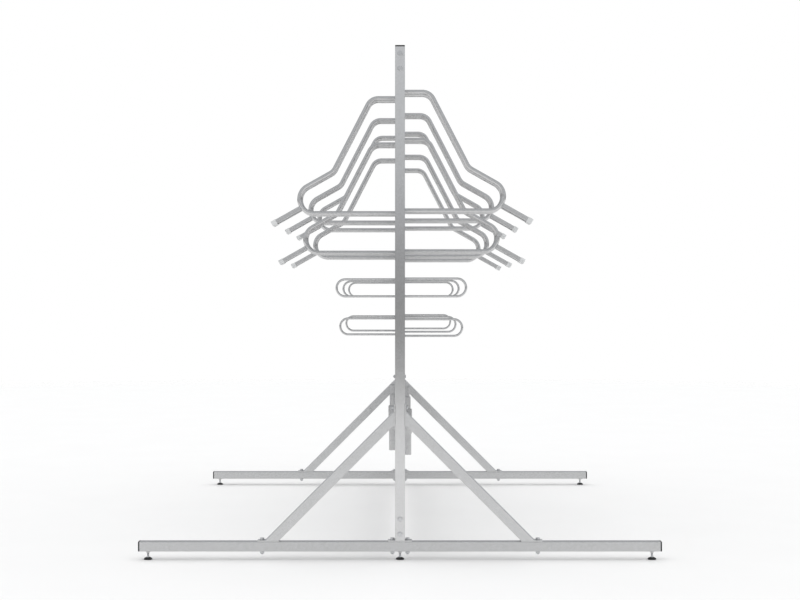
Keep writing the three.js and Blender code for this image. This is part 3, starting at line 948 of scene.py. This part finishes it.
def shoe(low):
    """A channel of bent sheet, welded on the upright, that holds the rear tyre."""
    top = SHOE_TOP - (SHOE_TIER_DROP if low else 0)
    bottom = top - SHOE_HEIGHT
    face = UPRIGHT_WIDTH / 2
    side = UPRIGHT_DEPTH / 2 + SHOE_SHEET
    sheet = block("shoe", (face, -side, bottom), (SHOE_REACH, side, top))
    with editing(sheet):
        choose(sheet, "faces", lambda part: faces_along(part, 0, 1) or faces_along(part, 2))
        bpy.ops.mesh.delete(type="FACE")
        bpy.ops.mesh.select_mode(type="EDGE")
        choose(sheet, "edges", lambda edge: along(edge, 2) and edge.verts[0].co.x < face + SLACK)
        bpy.ops.mesh.bevel(offset=SHOE_FOLD, offset_type="OFFSET", segments=5, affect="EDGES")
    finish(sheet, "SOLIDIFY", thickness=SHOE_SHEET, offset=-1, use_even_offset=True)
    with editing(sheet, "EDGE"):
        choose(sheet, "edges", lambda edge: along(edge, 1) and edge.verts[0].co.x > SHOE_REACH - SLACK)
        bpy.ops.mesh.bevel(offset=SHOE_CORNER, offset_type="OFFSET", segments=6, affect="EDGES")
    soften(sheet, SHEET_EDGE)
    made_of(sheet, zinc_steel)
    welds = []
    for y in (-UPRIGHT_DEPTH / 2, UPRIGHT_DEPTH / 2):
        ends = (bottom + SHOE_WELD_INSET, top - SHOE_WELD_INSET)
        welds.append(bead("shoe weld", [(face - SHOE_WELD_SINK, y, z) for z in ends]))
    return [sheet, *welds]


def upright(low):
    """The upright of a bay with what is welded on it."""
    x, y = UPRIGHT_WIDTH / 2, UPRIGHT_DEPTH / 2
    foot = UPRIGHT_BOTTOM + PLATE_THICKNESS
    head = UPRIGHT_TOP - PLATE_THICKNESS
    pieces = [tube("upright tube", (-x, -y, foot), (x, y, head), 2)]
    end = UPRIGHT_PLATE_LENGTH / 2
    for bottom in (UPRIGHT_BOTTOM, head):
        top = bottom + PLATE_THICKNESS
        pieces.append(plate("upright plate", (-x, -end, bottom), (x, end, top), 2))
    seam = x - TUBE_CORNER
    for z in (foot, head):
        for side in (-y, y):
            pieces.append(bead("upright weld", [(-seam, side, z), (seam, side, z)]))
    return joined("low upright" if low else "high upright", pieces + lock_loop(low) + shoe(low))


def on_the_nose():
    """Carries what is drawn along +X from the nose's centre to the slope of the arms."""
    slope = Matrix.Rotation(NOSE_SLOPE, 4, "Y")
    return Matrix.Translation(NOSE_CENTRE) @ slope @ moved(z=-ARM_OFFSET)


def hoop_pair():
    """Two bent hoops, and the arms and cross bar that carry the wheel on from their noses."""
    corners = [
        (-HOOP_TAIL, HOOP_TOP, 0),
        (HOOP_TOP_REACH, HOOP_TOP, HOOP_ELBOW),
        (KNEE_REACH, KNEE_HEIGHT, HOOP_ELBOW),
        (NOSE_REACH, HOOP_BOTTOM, HOOP_NOSE),
        (-HOOP_TAIL, HOOP_BOTTOM, 0),
    ]
    sides = (-HOOP_PLANE, HOOP_PLANE)
    pieces = [bent_bar("hoop", corners, HOOP_RADIUS, y=y, wall=HOOP_WALL) for y in sides]
    half = ARM_SECTION / 2
    seam = HOOP_NOSE + HOOP_RADIUS - ARM_WELD_SINK
    square = [(-1, -1), (1, -1), (1, 1), (-1, 1), (-1, -1)]
    fork = []
    for y in sides:
        arm = block("arm", (ARM_START, y - half, -half), (ARM_END, y + half, half))
        soften(arm, ARM_EDGE, segments=3)
        fork.append(made_of(arm, zinc_steel))
        points = [(seam, y + across * half, up * half) for across, up in square]
        fork.append(bead("arm weld", points, closed=True, radius=ROD_WELD))
    bar = block("cross bar", (ARM_END - ARM_SECTION, -HOOP_PLANE, -half), (ARM_END, HOOP_PLANE, half))
    soften(bar, ARM_EDGE, segments=3)
    fork.append(made_of(bar, zinc_steel))
    for piece in fork:
        piece.data.transform(on_the_nose())
    return joined("hoop pair", pieces + fork)


def wheel_rest():
    """A moulded cover pushed over the cross bar and the ends of the arms."""
    half = ARM_SECTION / 2 + SEAT_GAP
    side = HOOP_PLANE + half
    end = ARM_END + SEAT_GAP
    outer = side + REST_WALL
    start = end + REST_WALL - REST_LENGTH
    height = half + REST_WALL
    cover = block("wheel rest", (start, -outer, -height), (end + REST_WALL, outer, height))
    pocket = block("pocket", (start - REST_LENGTH, -side, -half), (end, side, half))
    cut_away(cover, [pocket])
    soften(cover, REST_EDGE, segments=3)
    made_of(cover, grey_plastic)
    cover.data.transform(on_the_nose())
    return cover


def declare(piece, slot, *nodes, body="rack"):
    """Says which body carries a piece and hides the solids that it stands for. Its material slot is not
    used.
    """
    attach(piece, body)
    if nodes:
        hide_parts(*nodes)


# Both stands

stands = {"near": moved(y=-STAND_Y), "far": moved(y=STAND_Y) @ HALF_TURN}
other_side = {"left": "right", "right": "left", "middle": "middle"}
rail_master, post_master, brace_master, cap_master = rail(), post(), brace(), tube_cap()
pad_master, stem_master = foot_pad(), foot_stem()

for place, stand in stands.items():
    for kind, master in (("rail", rail_master), ("post", post_master)):
        piece = copied(master, f"{kind}_{place}_welded", stand)
        declare(piece, "galvanised_steel", f"{kind}_{place}")

    cap = copied(cap_master, f"post_cap_{place}_moulded", stand @ moved(z=POST_TOP))
    declare(cap, "black_plastic", f"post_cap_{place}")
    bolts = []
    for side, turn in (("right", Matrix.Identity(4)), ("left", HALF_TURN)):
        name = side if place == "near" else other_side[side]
        piece = copied(brace_master, f"brace_{place}_{name}_welded", stand @ turn)
        piece.data.materials[0] = zinc_brace[name]
        declare(piece, "galvanised_steel", f"brace_{place}_{name}")
        end = facing((RAIL_LENGTH / 2, 0, RAIL_TOP - TUBE / 2), (1, 0, 0))
        cap = copied(cap_master, f"rail_cap_{place}_{name}_moulded", stand @ turn @ end)
        declare(cap, "black_plastic", f"rail_cap_{place}_{name}")
        for x in (BOLT_OFFSET, TUBE / 2 + BRACE_BOLT):
            above = facing((x, 0, RAIL_TOP + PLATE_THICKNESS), (0, 0, 1))
            bolts.append(copied(plate_bolt, "rail bolt", stand @ turn @ above))
    for height in (TOP_BEAM, BOTTOM_BEAM):
        for z in (height + BOLT_OFFSET, height - BOLT_OFFSET):
            outside = facing((0, -TUBE / 2, z), (0, -1, 0))
            bolts.append(copied(plate_bolt, "post bolt", stand @ outside))
    across = TUBE / 2 + PLATE_THICKNESS if place == "near" else -TUBE / 2 - PLATE_THICKNESS
    through = facing((across, 0, RAIL_TOP + BRACE_BOLT), (across, 0, 0))
    bolts.append(copied(brace_bolt, "brace bolt", stand @ through))
    declare(joined(f"stand_{place}_bolts", bolts), "galvanised_steel")

    for side, x in FOOT_PLACES.items():
        name = side if place == "near" else other_side[side]
        body = f"foot_{place}_{name}"
        under = stand @ moved(x=x)
        declare(copied(pad_master, f"{body}_pad", under), "black_plastic", body, body=body)
        declare(copied(stem_master, f"{body}_stem", under), "galvanised_steel", body, body=body)

for name, height in (("beam_bottom", BOTTOM_BEAM), ("beam_top", TOP_BEAM)):
    declare(beam(f"{name}_welded", height), "galvanised_steel", name)


# Eleven bays

uprights = {low: upright(low) for low in (False, True)}
hoop_master, rest_master = hoop_pair(), wheel_rest()

for i in range(BAY_COUNT):
    number = f"{i + 1:02d}"
    low = (i // 2) % 2 == 1
    bay = moved(y=(i - (BAY_COUNT - 1) / 2) * BAY_SPACING)
    if i % 2 == 1:
        bay = bay @ HALF_TURN
    tier = bay @ moved(z=-HOOP_TIER_DROP if low else 0)
    piece = copied(uprights[low], f"upright_{number}_welded", bay)
    declare(piece, "galvanised_steel", f"upright_{number}")
    piece = copied(hoop_master, f"hoop_pair_{number}_welded", tier)
    declare(piece, "galvanised_steel", f"hoop_pair_{number}")
    piece = copied(rest_master, f"wheel_rest_{number}_moulded", tier)
    declare(piece, "grey_plastic", f"wheel_rest_{number}")

    bolts = []
    for y in (-UPRIGHT_BOLT_OFFSET, UPRIGHT_BOLT_OFFSET):
        head = facing((0, y, UPRIGHT_TOP - PLATE_THICKNESS), (0, 0, -1))
        foot = facing((0, y, UPRIGHT_BOTTOM + PLATE_THICKNESS), (0, 0, 1))
        bolts.append(copied(plate_bolt, "upright bolt", bay @ head))
        bolts.append(copied(plate_bolt, "upright bolt", bay @ foot))
    for z in (HOOP_TOP, HOOP_BOTTOM):
        across = facing((0, -HOOP_PLANE - HOOP_RADIUS, z), (0, -1, 0))
        bolts.append(copied(hoop_bolt, "hoop bolt", tier @ across))
    declare(joined(f"bay_{number}_bolts", bolts), "galvanised_steel")

discard(rail_master, post_master, brace_master, cap_master, pad_master, stem_master)
discard(*uprights.values(), hoop_master, rest_master, plate_bolt, brace_bolt, hoop_bolt)


# Studio: a paper floor under a broad luminous ceiling, in a room that darkens towards its horizon
# and is a little dimmer on the far side of the rack. The camera sees plain white behind it

bpy.ops.object.select_all(action="DESELECT")
bpy.ops.mesh.primitive_circle_add(vertices=96, radius=FLOOR_RADIUS, fill_type="NGON")
floor = named("floor")
made_of(floor, studio_paper())

bpy.ops.object.light_add(type="SUN", rotation=(0, 0, 0))
ceiling = bpy.context.object
ceiling.data.angle = math.radians(CEILING_SPREAD)
ceiling.data.energy = CEILING_LIGHT
ceiling.visible_glossy = False

world = bpy.data.worlds.new("studio room")
bpy.context.scene.world = world
world.use_nodes = True
room = world.node_tree
room.nodes.clear()
direction = add(room, "ShaderNodeTexCoord").outputs["Generated"]
parts = add(room, "ShaderNodeSeparateXYZ", {"Vector": direction})
lowest, highest = ROOM_SHADES[0][0], ROOM_SHADES[-1][0]
rise = add(room, "ShaderNodeMapRange", {
    "Value": parts.outputs["Z"], "From Min": lowest, "From Max": highest,
})
walls = add(room, "ShaderNodeValToRGB", {"Fac": rise.outputs[0]})
stops = walls.color_ramp.elements
stops[0].color = linear(ROOM_SHADES[0][1])
stops[1].color = linear(ROOM_SHADES[-1][1])
for sine, shade in ROOM_SHADES[1:-1]:
    stops.new((sine - lowest) / (highest - lowest)).color = linear(shade)
depth = add(room, "ShaderNodeMapRange", {
    "Value": parts.outputs["Y"],
    "From Min": FAR_WALL_START, "From Max": FAR_WALL_END, "To Min": 1, "To Max": FAR_WALL_SHARE,
})
lit = add(room, "ShaderNodeBackground", {"Color": walls.outputs["Color"], "Strength": depth.outputs[0]})
seen = add(room, "ShaderNodeBackground", {"Color": linear("#FFFFFF"), "Strength": 1})
backdrop = add(room, "ShaderNodeMixShader", {
    0: add(room, "ShaderNodeLightPath").outputs["Is Camera Ray"], 1: lit.outputs[0], 2: seen.outputs[0],
})
add(room, "ShaderNodeOutputWorld", {"Surface": backdrop.outputs[0]})

bpy.context.scene.view_settings.view_transform = "Standard"
